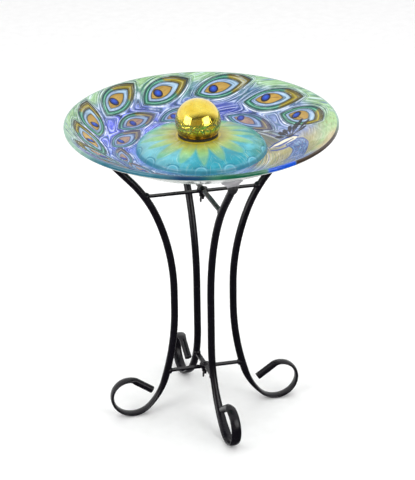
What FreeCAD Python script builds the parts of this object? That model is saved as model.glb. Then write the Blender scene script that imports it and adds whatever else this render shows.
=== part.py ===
"""Glass bird bath on a folding steel stand, with a lit glass globe in the middle of the bowl.

Two tube-leg frames cross on two vertical bolts and fold about them.  Four soft cups on the leg
tops carry a slumped glass bowl.  A globe stands on the bowl's raised centre over a small solar
light that is clamped through a hole in the glass.  Millimetres, +Z up, origin on the floor under
the middle of the bowl, +X towards the right leg.
"""
import FreeCAD
import Part
import Sketcher
import math
import os

Vector = FreeCAD.Vector
Rotation = FreeCAD.Rotation
Placement = FreeCAD.Placement

doc = FreeCAD.newDocument("BirdBath")
nodes = []

# ---------------------------------------------------------------- sizes
SIZES = {
    # bowl
    "rim_radius": 228.6,            # 18 inch bowl
    "rim_height": 551.0,            # floor to the top of the rim
    "bowl_depth": 58.0,             # rim plane down to the underside of the bottom
    "bottom_radius": 130.7,         # where the sloping wall meets the bottom
    "wall_glass": 6.5,
    "bottom_glass": 7.0,
    "rim_edge": 2.4,                # how far the rim's edge stands outside the wall line
    "mound_radius": 107.0,
    "crest_radius": 46.0,           # flat top of the mound
    "shoulder_drop": 9.5,           # mound's top down to its shoulder
    "edge_rise": 8.0,               # trough up to the mound's edge
    "seat_drop": 24.5,              # rim plane down to the globe's seat on the mound's top
    "light_hole_radius": 17.0,
    # globe
    "globe_radius": 38.6,
    "globe_wall": 1.8,
    "globe_sink": 20.3,             # globe centre down to its mouth
    "collar_height": 4.0,
    "collar_lip": 0.6,              # collar beyond the globe's mouth
    "collar_inner_radius": 27.0,
    "skirt_wall": 2.5,
    "skirt_height": 5.0,
    "seat_gap": 0.2,
    "globe_aside": 5.6,             # the loose globe rests this far to one side of the light
    # tube and its flattened scroll
    "tube_radius": 6.35,            # half-inch tube
    "tube_wall": 1.2,
    "ribbon_half_thick": 3.0,
    "ribbon_half_width": 8.8,
    "scroll_low_radius": 37.0,
    "scroll_high_radius": 31.0,
    "curl_radius": 20.0,
    "curl_turn": 35.5,
    "tail_length": 34.3,
    "heel_radius": 40.0,
    "top_turn": 41.0,               # leg top's lean from upright
    # outer frame, right and left legs
    "outer_waist": 52.4,
    "outer_ankle_radius": 120.0,
    "outer_ankle_turn": 28.5,
    "outer_calf_radius": 490.0,
    "outer_calf_turn": 16.5,
    "outer_hip_radius": 400.0,
    "outer_hip_turn": 21.0,
    "outer_shoulder_radius": 235.0,
    "outer_angle": 0.0,
    # inner frame, back and front legs
    "inner_waist": 38.4,
    "inner_ankle_radius": 152.0,
    "inner_ankle_turn": 29.0,
    "inner_calf_radius": 152.0,
    "inner_calf_turn": 29.0,
    "inner_hip_radius": 335.0,
    "inner_hip_turn": 20.5,
    "inner_shoulder_radius": 335.0,
    "inner_angle": 96.0,            # how far open the stand is
    # crossbars, bolts, nuts
    "bar_width": 8.0,
    "bar_thick": 3.2,
    "bar_gap": 0.3,
    "upper_bar_drop": 129.4,        # rim plane down to the underside of the outer upper bar
    "lower_bar_height": 80.0,
    "eye_radius": 9.0,
    "weld_radius": 6.8,
    "weld_inset": 3.0,
    "bolt_radius": 3.0,
    "bolt_clearance": 0.06,
    "bolt_head_radius": 5.2,
    "bolt_head_height": 3.4,
    "bolt_tail": 13.0,
    "washer_radius": 7.0,
    "washer_thick": 1.2,
    "nut_radius": 5.4,
    "nut_height": 6.0,
    "nut_gap": 0.3,
    "wing_span": 12.5,
    "wing_drop": 7.0,
    "nut_turn": 62.0,               # where the wings came to rest
    "wing_thick": 2.2,
    # cups, caps and plugs
    "cup_circle_radius": 154.8,     # where the cups meet the bowl
    "cup_reach": 10.5,              # leg end to the cup's face
    "cup_radius": 18.0,
    "cup_neck_radius": 4.6,
    "cup_grip_radius": 9.6,         # bell of the cup where it grips the cap
    "cup_grip": 8.5,                # how far the bell comes down over the cap
    "cup_stem_radius": 3.2,
    "cup_lip": 0.9,
    "cup_hollow": 2.4,
    "cup_gap": 0.3,
    "cap_radius": 8.0,
    "cap_sleeve": 7.0,
    "plug_head": 1.6,
    "plug_depth": 7.0,
    # solar light under the globe
    "housing_radius": 30.0,
    "housing_height": 21.0,
    "housing_wall": 2.0,
    "housing_roof": 2.5,
    "gasket_thick": 1.0,
    "gasket_inner_radius": 17.4,
    "gasket_outer_radius": 28.0,
    "neck_radius": 16.5,
    "neck_wall": 2.0,
    "neck_rise": 9.5,
    "lock_radius": 20.0,
    "lock_height": 4.5,
    "cell_thick": 2.0,
    "cell_gap": 0.1,
    "carrier_thick": 2.0,
    "carrier_drop": 12.0,
    "lamp_radius": 2.5,
    "lamp_clearance": 0.2,
    "battery_radius": 5.25,
    "battery_length": 44.5,
    "battery_offset": 8.0,
    "contact_thick": 0.8,
    "contact_width": 8.0,
    "door_thick": 2.0,
    "door_gap": 0.2,
    "boss_radius": 3.0,
    "boss_circle_radius": 24.0,
    "screw_radius": 1.25,
    "screw_head_radius": 2.4,
    "screw_head_height": 1.2,
    "screw_length": 10.0,
    "board_length": 24.0,
    "board_width": 13.0,
    "board_thick": 1.6,
    "switch_size": 6.0,
    "switch_height": 4.5,
    "button_offset": 14.0,
    "button_radius": 3.0,
    "button_gap": 0.4,
    "button_flange": 1.2,
    "button_flange_thick": 1.0,
    "button_proud": 2.4,
    "button_travel": 1.2,
}

sizes = doc.addObject("Spreadsheet::Sheet", "Sizes")
for row, (alias, number) in enumerate(SIZES.items(), start=1):
    sizes.set("A%d" % row, alias)
    sizes.set("B%d" % row, str(number))
    sizes.setAlias("B%d" % row, alias)

# Sizes that follow from the ones above.  {f} is the frame's name.
BOWL_FORMULAS = {
    "under_radius": "Sizes.rim_radius - Sizes.rim_edge",
    "under_height": "Sizes.rim_height - Sizes.wall_glass - 0.7",
    "floor_height": "Sizes.rim_height - Sizes.bowl_depth",
    "wall_angle": "atan((under_height - floor_height) / (under_radius - Sizes.bottom_radius))",
    "seat_height": "Sizes.rim_height - Sizes.seat_drop",
    "roof_height": "seat_height - Sizes.bottom_glass",
    "mouth_radius": "sqrt(Sizes.globe_radius ^ 2 - Sizes.globe_sink ^ 2)",
    "collar_radius": "mouth_radius + Sizes.collar_lip",
    "mouth_height": "seat_height + Sizes.seat_gap + Sizes.collar_height",
    "globe_height": "mouth_height + Sizes.globe_sink",
    "cup_height": "floor_height + (Sizes.cup_circle_radius - Sizes.bottom_radius) * tan(wall_angle)"
                  " - Sizes.cup_gap / cos(wall_angle)",
    "leg_top_radius": "Sizes.cup_circle_radius + Sizes.cup_reach * sin(wall_angle)",
    "leg_top_height": "cup_height - Sizes.cup_reach * cos(wall_angle)",
    "upper_bar_height": "Sizes.rim_height - Sizes.upper_bar_drop",
}
FRAME_FORMULAS = {
    "{f}_heel_turn": "90 - Sizes.{f}_ankle_turn - Sizes.{f}_calf_turn",
    "{f}_shoulder_turn": "Sizes.top_turn - Sizes.{f}_hip_turn",
    "{f}_foot_radius": "Sizes.{f}_waist + Sizes.{f}_calf_radius * (1 - cos(Sizes.{f}_calf_turn))"
                       " + Sizes.{f}_ankle_radius * (cos(Sizes.{f}_calf_turn)"
                       " - cos(90 - {f}_heel_turn)) + Sizes.heel_radius * cos(90 - {f}_heel_turn)",
    "{f}_waist_low": "Sizes.ribbon_half_thick + Sizes.heel_radius * (1 - sin(90 - {f}_heel_turn))"
                     " + Sizes.{f}_ankle_radius * (sin(90 - {f}_heel_turn)"
                     " - sin(Sizes.{f}_calf_turn)) + Sizes.{f}_calf_radius"
                     " * sin(Sizes.{f}_calf_turn)",
    "{f}_shoulder_end": "Sizes.{f}_waist + Sizes.{f}_hip_radius * (1 - cos(Sizes.{f}_hip_turn))"
                        " + Sizes.{f}_shoulder_radius * (cos(Sizes.{f}_hip_turn)"
                        " - cos(Sizes.top_turn))",
    "{f}_top_length": "(leg_top_radius - {f}_shoulder_end) / sin(Sizes.top_turn)",
    "{f}_shoulder_high": "leg_top_height - {f}_top_length * cos(Sizes.top_turn)",
    "{f}_waist_high": "{f}_shoulder_high - Sizes.{f}_hip_radius * sin(Sizes.{f}_hip_turn)"
                      " - Sizes.{f}_shoulder_radius * (sin(Sizes.top_turn)"
                      " - sin(Sizes.{f}_hip_turn))",
    "{f}_waist_length": "{f}_waist_high - {f}_waist_low",
}
INNER_BARS = " + Sizes.bar_thick + Sizes.bar_gap"
BAR_FORMULAS = {
    "{f}_upper_z": "upper_bar_height{lift}",
    "{f}_lower_z": "Sizes.lower_bar_height{lift}",
    "{f}_upper_reach": "{f}_shoulder_end + Sizes.{f}_shoulder_radius * cos(Sizes.top_turn)"
                       " - sqrt(Sizes.{f}_shoulder_radius ^ 2 - ({f}_upper_z"
                       " + Sizes.bar_thick / 2 - {f}_shoulder_high"
                       " + Sizes.{f}_shoulder_radius * sin(Sizes.top_turn)) ^ 2)",
    "{f}_lower_reach": "Sizes.{f}_waist + Sizes.{f}_calf_radius"
                       " - sqrt(Sizes.{f}_calf_radius ^ 2"
                       " - ({f}_waist_low - {f}_lower_z - Sizes.bar_thick / 2) ^ 2)",
}

derived = doc.addObject("Spreadsheet::Sheet", "Derived")
formulas = dict(BOWL_FORMULAS)
for frame, lift in (("outer", ""), ("inner", INNER_BARS)):
    for alias, formula in FRAME_FORMULAS.items():
        formulas[alias.format(f=frame)] = formula.format(f=frame)
    for alias, formula in BAR_FORMULAS.items():
        formulas[alias.format(f=frame)] = formula.format(f=frame, lift=lift)
for row, (alias, formula) in enumerate(formulas.items(), start=1):
    derived.set("A%d" % row, alias)
    derived.setAlias("B%d" % row, alias)
for row, (alias, formula) in enumerate(formulas.items(), start=1):
    derived.set("B%d" % row, "=" + formula)
doc.recompute()


def size(alias):
    """A number from either sheet."""
    sheet = sizes if alias in SIZES else derived
    value = sheet.get(alias)
    return float(getattr(value, "Value", value))


def ref(alias):
    """The same number as an expression."""
    return ("Sizes." if alias in SIZES else "Derived.") + alias


# ---------------------------------------------------------------- small helpers
def bind(obj, **expressions):
    """Tie properties to expressions; a double underscore stands for a dot."""
    for path, expression in expressions.items():
        obj.setExpression(path.replace("__", "."), expression)
    return obj


def node(obj, label):
    """Mark an object as one sub-part of the assembly."""
    obj.Label = label
    nodes.append(obj)
    return obj


def solid(kind, name, **expressions):
    return bind(doc.addObject("Part::" + kind, name), **expressions)


def disc(name, radius, height, z, x="0", y="0"):
    return solid("Cylinder", name, Radius=radius, Height=height,
                 Placement__Base__x=x, Placement__Base__y=y, Placement__Base__z=z)


def block(name, length, width, height, x, y, z):
    """A box centred on x and y that stands on z."""
    return solid("Box", name, Length=length, Width=width, Height=height,
                 Placement__Base__x="(%s) - (%s) / 2" % (x, length),
                 Placement__Base__y="(%s) - (%s) / 2" % (y, width), Placement__Base__z=z)


def fuse(name, *shapes):
    obj = doc.addObject("Part::MultiFuse", name)
    obj.Shapes = list(shapes)
    return obj


def cut(name, base, *tools):
    obj = doc.addObject("Part::Cut", name)
    obj.Base = base
    obj.Tool = tools[0] if len(tools) == 1 else fuse(name + "_tools", *tools)
    return obj


def origin_plane(body, role):
    for feature in body.Origin.OriginFeatures:
        if feature.Role == role:
            return feature
    raise RuntimeError("no plane " + role)


def revolved(label, corners):
    """A body turned about Z from corners of (radius, height, rounding).

    Each corner's radius and height are expressions.  A corner is a construction point that the
    two neighbouring edges pass through; where it is rounded, an arc touches both edges.
    """
    body = doc.addObject("PartDesign::Body", label + "_body")
    sketch = body.newObject("Sketcher::SketchObject", label + "_outline")
    sketch.AttachmentSupport = [(origin_plane(body, "XZ_Plane"), "")]
    sketch.MapMode = "FlatFace"
    trial = doc.addObject("Spreadsheet::Sheet", label + "_trial")
    for i, (r, z, rounding) in enumerate(corners):
        trial.set("A%d" % (i + 1), "=" + r)
        trial.set("B%d" % (i + 1), "=" + z)
    trial.recompute()
    points = []
    for i in range(len(corners)):
        pair = [trial.get(column + str(i + 1)) for column in "AB"]
        points.append(Vector(*[float(getattr(v, "Value", v)) for v in pair]))
    doc.removeObject(trial.Name)
    count = len(points)
    starts = []
    ends = []
    for i, (r, z, rounding) in enumerate(corners):
        back = (points[i - 1] - points[i]).normalize()
        ahead = (points[(i + 1) % count] - points[i]).normalize()
        half = back.getAngle(ahead) / 2
        trim = rounding / math.tan(half) if rounding else 0.0
        ends.append(points[i] + back * trim)
        starts.append(points[i] + ahead * trim)
    for i in range(count):
        following = (i + 1) % count
        sketch.addGeometry(Part.LineSegment(starts[i], ends[following]), False)
    for i, (r, z, rounding) in enumerate(corners):
        line_in = (i - 1) % count
        if not rounding:
            sketch.addConstraint(Sketcher.Constraint("Coincident", line_in, 2, i, 1))
            spot = (i, 1)
        else:
            bisector = (ends[i] + starts[i]) * 0.5 - points[i]
            bisector.normalize()
            gap = math.hypot(rounding, (ends[i] - points[i]).Length)
            centre = points[i] + bisector * gap
            middle = centre - bisector * rounding
            arc = sketch.addGeometry(Part.Arc(ends[i], middle, starts[i]), False)
            first = sketch.getPoint(arc, 1)
            if (first - ends[i]).Length < (first - starts[i]).Length:
                tips = (1, 2)
            else:
                tips = (2, 1)
            sketch.addConstraint(Sketcher.Constraint("Tangent", line_in, 2, arc, tips[0]))
            sketch.addConstraint(Sketcher.Constraint("Tangent", arc, tips[1], i, 1))
            sketch.addConstraint(Sketcher.Constraint("Radius", arc, rounding))
            mark = sketch.addGeometry(Part.Point(points[i]), True)
            sketch.addConstraint(Sketcher.Constraint("PointOnObject", mark, 1, line_in))
            sketch.addConstraint(Sketcher.Constraint("PointOnObject", mark, 1, i))
            spot = (mark, 1)
        across = sketch.addConstraint(
            Sketcher.Constraint("DistanceX", -1, 1, spot[0], spot[1], points[i].x))
        sketch.setExpression("Constraints[%d]" % across, r)
        upward = sketch.addConstraint(
            Sketcher.Constraint("DistanceY", -1, 1, spot[0], spot[1], points[i].y))
        sketch.setExpression("Constraints[%d]" % upward, z)
    turn = body.newObject("PartDesign::Revolution", label + "_turn")
    turn.Profile = sketch
    turn.ReferenceAxis = (sketch, ["V_Axis"])
    turn.Angle = 360
    return body


# ---------------------------------------------------------------- bowl
def bowl():
    """Slumped glass: hole, domed mound, trough and sloping wall of even thickness."""
    t_across = "Sizes.wall_glass * sin(Derived.wall_angle)"
    t_up = "Sizes.wall_glass * cos(Derived.wall_angle)"
    trough = "Derived.floor_height + Sizes.bottom_glass"
    inner_foot = ("Sizes.bottom_radius - %s + (Sizes.bottom_glass - %s) / tan(Derived.wall_angle)"
                  % (t_across, t_up))
    shoulder_r = "Sizes.crest_radius + (Sizes.mound_radius - Sizes.crest_radius) * 0.8"
    shoulder_z = "Derived.seat_height - Sizes.shoulder_drop"
    edge_z = trough + " + Sizes.edge_rise"
    corners = [
        ("Sizes.light_hole_radius", "Derived.roof_height", 0),
        ("Sizes.crest_radius - 2", "Derived.roof_height", 50),
        (shoulder_r + " - 3", shoulder_z + " - Sizes.bottom_glass", 25),
        ("Sizes.mound_radius - 6.5", "Derived.floor_height + Sizes.edge_rise", 2.5),
        ("Sizes.mound_radius - 3", "Derived.floor_height", 2.5),
        ("Sizes.bottom_radius", "Derived.floor_height", 80),
        ("Derived.under_radius", "Derived.under_height", 2),
        ("Sizes.rim_radius", "Derived.under_height + 2", 1),
        ("Sizes.rim_radius", "Sizes.rim_height - 1.4", 1),
        ("Sizes.rim_radius - 2", "Sizes.rim_height", 0.8),
        ("Derived.under_radius - " + t_across + " + 1.5", "Sizes.rim_height", 1),
        (inner_foot, trough, 60),
        ("Sizes.mound_radius + 3.5", trough, 3),
        ("Sizes.mound_radius", edge_z, 3),
        (shoulder_r, shoulder_z, 35),
        ("Sizes.crest_radius", "Derived.seat_height", 60),
        ("Sizes.light_hole_radius", "Derived.seat_height", 0),
    ]
    node(revolved("glass_bowl", corners), "glass_bowl")


# ---------------------------------------------------------------- globe
def globe():
    """A thin glass ball, open below, on a dark collar that drops loosely over the light."""
    outer = solid("Sphere", "globe_outer", Radius="Sizes.globe_radius",
                  Placement__Base__z="Derived.globe_height")
    inner = solid("Sphere", "globe_inner", Radius="Sizes.globe_radius - Sizes.globe_wall",
                  Placement__Base__z="Derived.globe_height")
    below = disc("globe_below", "Sizes.globe_radius", "Sizes.globe_radius",
                 "Derived.mouth_height - Sizes.globe_radius")
    shell = cut("globe_shell", outer, inner, below)
    bind(shell, Placement__Base__x="0 - Sizes.globe_aside")
    node(shell, "glass_globe")

    ring = disc("collar_ring", "Derived.collar_radius", "Sizes.collar_height",
                "Derived.seat_height + Sizes.seat_gap")
    skirt = disc("collar_skirt", "Sizes.collar_inner_radius + Sizes.skirt_wall",
                 "Sizes.collar_height + Sizes.skirt_height",
                 "Derived.seat_height + Sizes.seat_gap")
    bore = disc("collar_bore", "Sizes.collar_inner_radius",
                "Sizes.collar_height + Sizes.skirt_height",
                "Derived.seat_height + Sizes.seat_gap")
    collar = cut("collar_shape", fuse("collar_solid", ring, skirt), bore)
    bind(collar, Placement__Base__x="0 - Sizes.globe_aside")
    node(collar, "globe_collar")


# ---------------------------------------------------------------- stand
def leg_path(name, frame, side):
    """The leg's centreline: tail, scroll, heel, ankle, calf, waist, hip, shoulder, top."""
    chain = [
        ("line", ref("tail_length"), ""),
        ("arc", ref("curl_radius"), ref("curl_turn")),
        ("arc", ref("scroll_high_radius"), "90"),
        ("arc", ref("scroll_low_radius"), "90"),
        ("arc", ref("heel_radius"), ref(frame + "_heel_turn")),
        ("arc", ref(frame + "_ankle_radius"), ref(frame + "_ankle_turn")),
        ("arc", ref(frame + "_calf_radius"), ref(frame + "_calf_turn")),
        ("line", ref(frame + "_waist_length"), ""),
        ("arc", ref(frame + "_hip_radius"), ref(frame + "_hip_turn")),
        ("arc", ref(frame + "_shoulder_radius"), ref(frame + "_shoulder_turn")),
        ("line", ref(frame + "_top_length"), ""),
    ]
    sketch = doc.addObject("Sketcher::SketchObject", name + "_path")
    sketch.Placement = Placement(Vector(), Rotation(Vector(0, 0, 1), side) *
                                 Rotation(Vector(1, 0, 0), 90))
    # lay the chain out from the tail's end, which is found by walking back from the scroll's foot
    foot = Vector(size(frame + "_foot_radius"), size("ribbon_half_thick"), 0)
    turn = math.radians(size("curl_turn"))
    crown = foot + Vector(size("scroll_low_radius") - size("scroll_high_radius"),
                          size("scroll_low_radius") + size("scroll_high_radius"), 0)
    curl = crown - Vector(math.sin(turn), 1 - math.cos(turn), 0) * size("curl_radius")
    point = curl - Vector(math.cos(turn), math.sin(turn), 0) * size("tail_length")
    heading = turn
    for kind, reach, sweep in chain:
        length = size(reach.split(".")[1])
        if kind == "line":
            ahead = Vector(math.cos(heading), math.sin(heading), 0) * length
            sketch.addGeometry(Part.LineSegment(point, point + ahead), False)
            point = point + ahead
        else:
            angle = math.radians(90 if sweep == "90" else size(sweep.split(".")[1]))
            centre = point + Vector(math.sin(heading), -math.cos(heading), 0) * length
            last = heading + math.pi / 2
            circle = Part.Circle(centre, Vector(0, 0, 1), length)
            sketch.addGeometry(Part.ArcOfCircle(circle, last - angle, last), False)
            heading -= angle
            point = centre + Vector(-math.sin(heading), math.cos(heading), 0) * length
    # arcs run clockwise, so each is entered at its end and left at its start
    enter = [1 if kind == "line" else 2 for kind, reach, sweep in chain]
    leave = [2 if kind == "line" else 1 for kind, reach, sweep in chain]
    for i in range(len(chain) - 1):
        sketch.addConstraint(Sketcher.Constraint("Tangent", i, leave[i], i + 1, enter[i + 1]))
    for i, (kind, reach, sweep) in enumerate(chain):
        length = size(reach.split(".")[1])
        word = "Distance" if kind == "line" else "Radius"
        index = sketch.addConstraint(Sketcher.Constraint(word, i, length))
        sketch.setExpression("Constraints[%d]" % index, reach)
        if kind == "arc":
            angle = 90 if sweep == "90" else size(sweep.split(".")[1])
            index = sketch.addConstraint(Sketcher.Constraint("Angle", i, math.radians(angle)))
            sketch.setExpression("Constraints[%d]" % index, sweep)
    waist = [i for i, link in enumerate(chain) if link[1] == ref(frame + "_waist_length")][0]
    sketch.addConstraint(Sketcher.Constraint("Vertical", waist))
    index = sketch.addConstraint(
        Sketcher.Constraint("DistanceX", -1, 1, waist, 1, size(frame + "_waist")))
    sketch.setExpression("Constraints[%d]" % index, ref(frame + "_waist"))
    index = sketch.addConstraint(
        Sketcher.Constraint("DistanceY", -1, 1, waist, 1, size(frame + "_waist_low")))
    sketch.setExpression("Constraints[%d]" % index, ref(frame + "_waist_low"))
    return sketch


def section(name, path, edge, along, width, thick):
    """An ellipse across the path: width out of the leg's plane, thick in it."""
    ellipse = doc.addObject("Part::Ellipse", name)
    ellipse.MajorRadius = 10
    ellipse.MinorRadius = 1
    bind(ellipse, MajorRadius=width, MinorRadius=thick)
    ellipse.AttachmentSupport = [(path, "Edge%d" % edge)]
    ellipse.MapMode = "NormalToEdge"
    ellipse.MapPathParameter = along
    return ellipse


def swept(name, path, edges, sections):
    sweep = doc.addObject("Part::Sweep", name)
    sweep.Sections = sections
    sweep.Spine = (path, ["Edge%d" % edge for edge in edges])
    sweep.Solid = True
    sweep.Frenet = False
    return sweep


def tube(name, path, inset):
    """One closed skin of the leg: round, then flattened round the scroll, then round again."""
    round_size = "Sizes.tube_radius - " + inset
    wide = "Sizes.ribbon_half_width - " + inset
    thin = "Sizes.ribbon_half_thick - " + inset
    tail = section(name + "_tail_end", path, 1, 1, round_size, round_size)
    curl_in = section(name + "_curl_in", path, 2, 1, round_size, round_size)
    curl_out = section(name + "_curl_out", path, 2, 0, wide, thin)
    crown = section(name + "_crown", path, 3, 1, wide, thin)
    ankle_in = section(name + "_ankle_in", path, 6, 1, wide, thin)
    ankle_out = section(name + "_ankle_out", path, 6, 0, round_size, round_size)
    shank = section(name + "_shank", path, 7, 1, round_size, round_size)
    return fuse(
        name,
        swept(name + "_tail", path, [1], [tail]),
        swept(name + "_curl", path, [2], [curl_in, curl_out]),
        swept(name + "_scroll", path, [3, 4, 5], [crown]),
        swept(name + "_ankle", path, [6], [ankle_in, ankle_out]),
        swept(name + "_leg", path, [7, 8, 9, 10, 11], [shank]),
    )


def plug(name, path):
    """Closes the tail's cut end: a spigot inside the tube and a flat head."""
    spigot = doc.addObject("Part::Cylinder", name + "_spigot")
    bind(spigot, Radius="Sizes.tube_radius - Sizes.tube_wall", Height="Sizes.plug_depth")
    head = doc.addObject("Part::Cylinder", name + "_head")
    bind(head, Radius="Sizes.tube_radius", Height="Sizes.plug_head")
    for part, shift in ((spigot, -1), (head, 1)):
        part.AttachmentSupport = [(path, "Edge1")]
        part.MapMode = "NormalToEdge"
        part.MapPathParameter = 0
    # the edge's own direction decides which way each cylinder grows
    doc.recompute()
    start = path.Shape.Edges[0].Vertexes[0].Point
    other = path.Shape.Edges[0].Vertexes[-1].Point
    into = (other - start).normalize()
    grows = spigot.Placement.Rotation.multVec(Vector(0, 0, 1))
    if grows.dot(into) > 0:
        bind(head, AttachmentOffset__Base__z="0 - Sizes.plug_head")
    else:
        bind(spigot, AttachmentOffset__Base__z="0 - Sizes.plug_depth")
    return fuse(name, spigot, head)


def cup_and_cap(name, side):
    """A soft bell-shaped cup, square to the glass, gripping the domed cap over the tube's end."""
    reach = "Sizes.cup_reach"
    r_top = "Derived.leg_top_radius"
    z_top = "Derived.leg_top_height"
    cup = revolved(name + "_cup", [
        ("0", "1.5", 0),
        ("Sizes.cup_stem_radius", "1.5", 0),
        ("Sizes.cup_stem_radius", reach + " - Sizes.cup_grip", 0),
        ("Sizes.cup_grip_radius", reach + " - Sizes.cup_grip", 0.5),
        ("Sizes.cup_grip_radius + 1.2", reach + " - Sizes.cup_grip + 3", 1.5),
        ("Sizes.cup_radius", reach + " - Sizes.cup_lip", 0),
        ("Sizes.cup_radius", reach, 0),
        ("Sizes.cup_radius - 0.8", reach, 0),
        ("Sizes.cup_neck_radius", reach + " - Sizes.cup_hollow", 6),
        ("0", reach + " - Sizes.cup_hollow", 0),
    ])
    dome = solid("Sphere", name + "_dome", Radius="Sizes.cap_radius")
    sleeve = solid("Cylinder", name + "_sleeve", Radius="Sizes.cap_radius",
                   Height="Sizes.cap_sleeve")
    face = disc(name + "_face", "Sizes.cap_radius + 1", "Sizes.cap_radius",
                reach + " - 5")
    stem = disc(name + "_socket", "Sizes.cup_stem_radius", reach, "1.5")
    for part in (cup, face, stem):
        part.Placement = Placement(Vector(), Rotation(Vector(0, -1, 0), 1))
        bind(part, Placement__Rotation__Angle="Derived.wall_angle")
    sleeve.Placement = Placement(Vector(), Rotation(Vector(0, 1, 0), 1))
    bind(sleeve, Placement__Rotation__Angle="180 + Sizes.top_turn")
    # a disc turned about the leg's end keeps its own lift along the turned axis
    for part, lift in ((face, "(Sizes.cup_reach - 5)"), (stem, "1.5")):
        bind(part,
             Placement__Base__x=r_top + " - %s * sin(Derived.wall_angle)" % lift,
             Placement__Base__z=z_top + " + %s * cos(Derived.wall_angle)" % lift)
    for part in (cup, dome, sleeve):
        bind(part, Placement__Base__x=r_top, Placement__Base__z=z_top)
    return cup, dome, sleeve, face, stem


def half_turn(obj, side, name):
    """The same piece on the frame's other leg."""
    copy = doc.addObject("Part::Compound", name)
    copy.Links = [obj]
    if side:
        copy.Placement = Placement(Vector(), Rotation(Vector(0, 0, 1), side))
    return copy


def crossbar(frame, level, skins):
    """A flat bar with a bolt eye, coped round both legs, with a weld at each."""
    name = "%s_%s_bar" % (frame, level)
    base = "Derived.%s_%s_z" % (frame, level)
    reach = "Derived.%s_%s_reach" % (frame, level)
    strip = block(name + "_strip", "2 * " + reach, "Sizes.bar_width", "Sizes.bar_thick",
                  "0", "0", base)
    eye = disc(name + "_eye", "Sizes.eye_radius", "Sizes.bar_thick", base)
    welds = []
    for sign, tag in ((1, "near"), (-1, "far")):
        welds.append(solid(
            "Sphere", name + "_weld_" + tag, Radius="Sizes.weld_radius",
            Placement__Base__x="%d * (%s - Sizes.weld_inset)" % (sign, reach),
            Placement__Base__z=base + " + Sizes.bar_thick / 2"))
    clearance = " + Sizes.bolt_clearance" if frame == "inner" else ""
    hole = disc(name + "_hole", "Sizes.bolt_radius" + clearance, "Sizes.bar_thick", base)
    shape = cut(name + "_shape", fuse(name + "_solid", strip, eye, *welds), hole, *skins)
    return node(shape, name.replace("_bar", "_crossbar"))


def stand_frame(frame, labels):
    """Two legs, two crossbars, and each leg's plug, cap and cup, turned to the frame's angle."""
    skins = []
    pieces = []
    cup, dome, sleeve, face, socket = cup_and_cap(frame, 0)
    for label, side in labels:
        path = leg_path(label, frame, side)
        skin = tube(label + "_skin", path, "0")
        core = tube(label + "_core", path, "Sizes.tube_wall")
        skins.append(skin)
        pieces.append(node(cut(label + "_tube", skin, core), label + "_leg"))
        pieces.append(node(plug(label + "_plug", path), label + "_foot_plug"))
    cap = cut(frame + "_cap_shape", fuse(frame + "_cap_solid", dome, sleeve), face, socket,
              skins[0])
    cup = cut(frame + "_cup_shape", cup, cap, skins[0])
    for label, side in labels:
        pieces.append(node(half_turn(cap, side, label + "_cap_copy"), label + "_leg_cap"))
        pieces.append(node(half_turn(cup, side, label + "_cup_copy"), label + "_suction_cup"))
    for level in ("upper", "lower"):
        pieces.append(crossbar(frame, level, skins))
    for piece in pieces:
        piece.Placement = Placement(piece.Placement.Base,
                                    Rotation(Vector(0, 0, 1), 1) * piece.Placement.Rotation)
        side = 180 if piece.Label.split("_")[0] == labels[1][0] and \
            ("cap" in piece.Label or "cup" in piece.Label) else 0
        piece.Placement = Placement(Vector(), Rotation(Vector(0, 0, 1), 1))
        bind(piece, Placement__Rotation__Angle="Sizes.%s_angle + %d" % (frame, side))


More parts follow.
